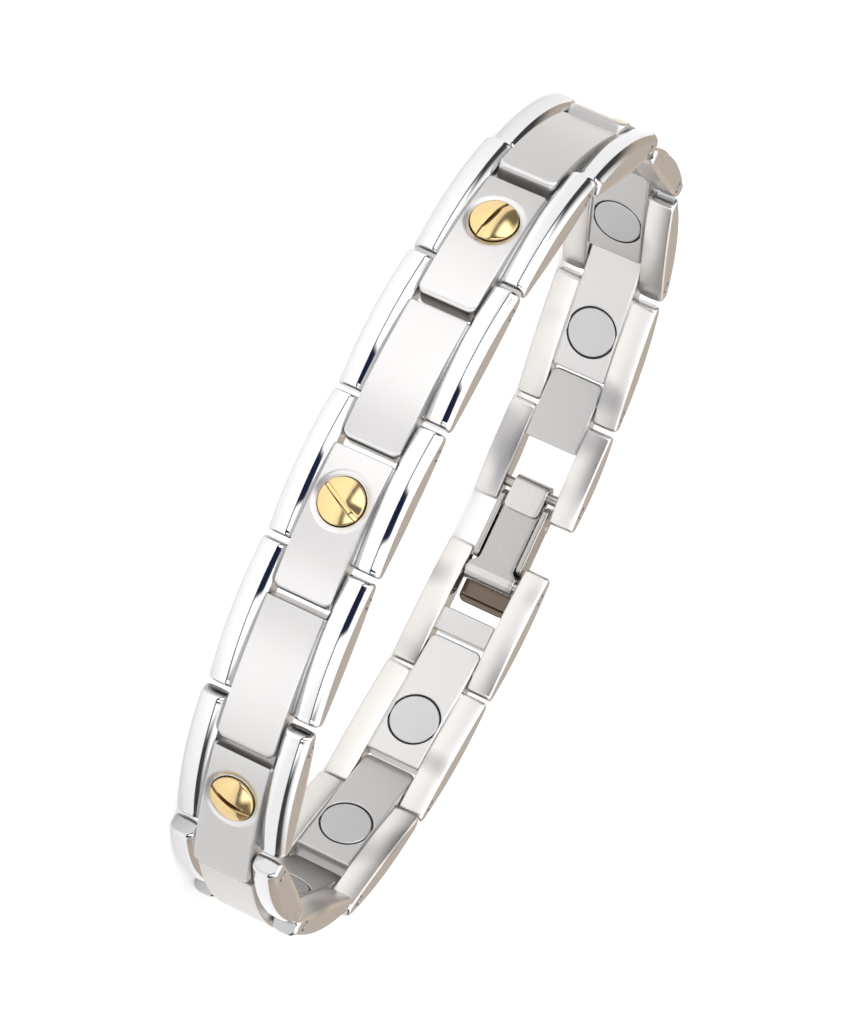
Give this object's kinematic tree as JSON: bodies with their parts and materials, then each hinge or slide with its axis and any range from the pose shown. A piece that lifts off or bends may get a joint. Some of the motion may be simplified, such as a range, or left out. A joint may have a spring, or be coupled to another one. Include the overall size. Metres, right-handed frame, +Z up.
{
  "type": "magnetic link bracelet",
  "caption": "Closed oval bracelet of steel links lying on its side, with gold slotted screws outside, round magnets inside and a fold-over clasp",
  "frame": {"origin": "middle of the loop, on the plane that the loop's side rests on", "axes": "+Z is up, the axis that the wrist passes along; +X is the long way of the oval; the clasp is at +Y"},
  "size_m": [0.0816, 0.0574, 0.011],
  "materials": {
    "link_steel": "polished side bars and a brushed centre",
    "clasp_steel": "bright folded sheet",
    "pin_steel": "plain turned pins",
    "gold_screw": "polished gold plating",
    "magnet": "satin nickel-grey plating"
  },
  "bodies": {
    "band": {"link_01": "link_steel", "link_02": "link_steel", "link_03": "link_steel", "link_04": "link_steel", "link_05": "link_steel", "link_06": "link_steel", "link_07": "link_steel", "link_08": "link_steel", "link_09": "link_steel", "link_10": "link_steel", "link_11": "link_steel", "link_12": "link_steel", "link_13": "link_steel", "catch_link": "link_steel", "clasp_link": "link_steel", "link_pin_01": "pin_steel", "link_pin_02": "pin_steel", "link_pin_03": "pin_steel", "link_pin_04": "pin_steel", "link_pin_05": "pin_steel", "link_pin_06": "pin_steel", "link_pin_07": "pin_steel", "link_pin_08": "pin_steel", "link_pin_09": "pin_steel", "link_pin_10": "pin_steel", "link_pin_11": "pin_steel", "link_pin_12": "pin_steel", "link_pin_13": "pin_steel", "link_pin_14": "pin_steel", "catch_bar": "pin_steel", "clasp_pin": "pin_steel", "clasp_leaf": "clasp_steel", "cover_pivot": "pin_steel", "screw_01": "gold_screw", "screw_02": "gold_screw", "screw_03": "gold_screw", "screw_04": "gold_screw", "screw_05": "gold_screw", "screw_06": "gold_screw", "screw_07": "gold_screw", "magnet_01": "magnet", "magnet_02": "magnet", "magnet_03": "magnet", "magnet_04": "magnet", "magnet_05": "magnet", "magnet_06": "magnet", "magnet_07": "magnet", "magnet_08": "magnet", "magnet_09": "magnet", "magnet_10": "magnet", "magnet_11": "magnet", "magnet_12": "magnet", "magnet_13": "magnet"},
    "cover": {"clasp_cover": "clasp_steel"}
  },
  "joints": [
    {"name": "cover_hinge", "type": "hinge", "parent": "band", "child": "cover", "pos_m": [-0.00535, 0.02702, 0.0055], "axis": [0, 0, 1], "range_deg": [0, 100]}
  ]
}
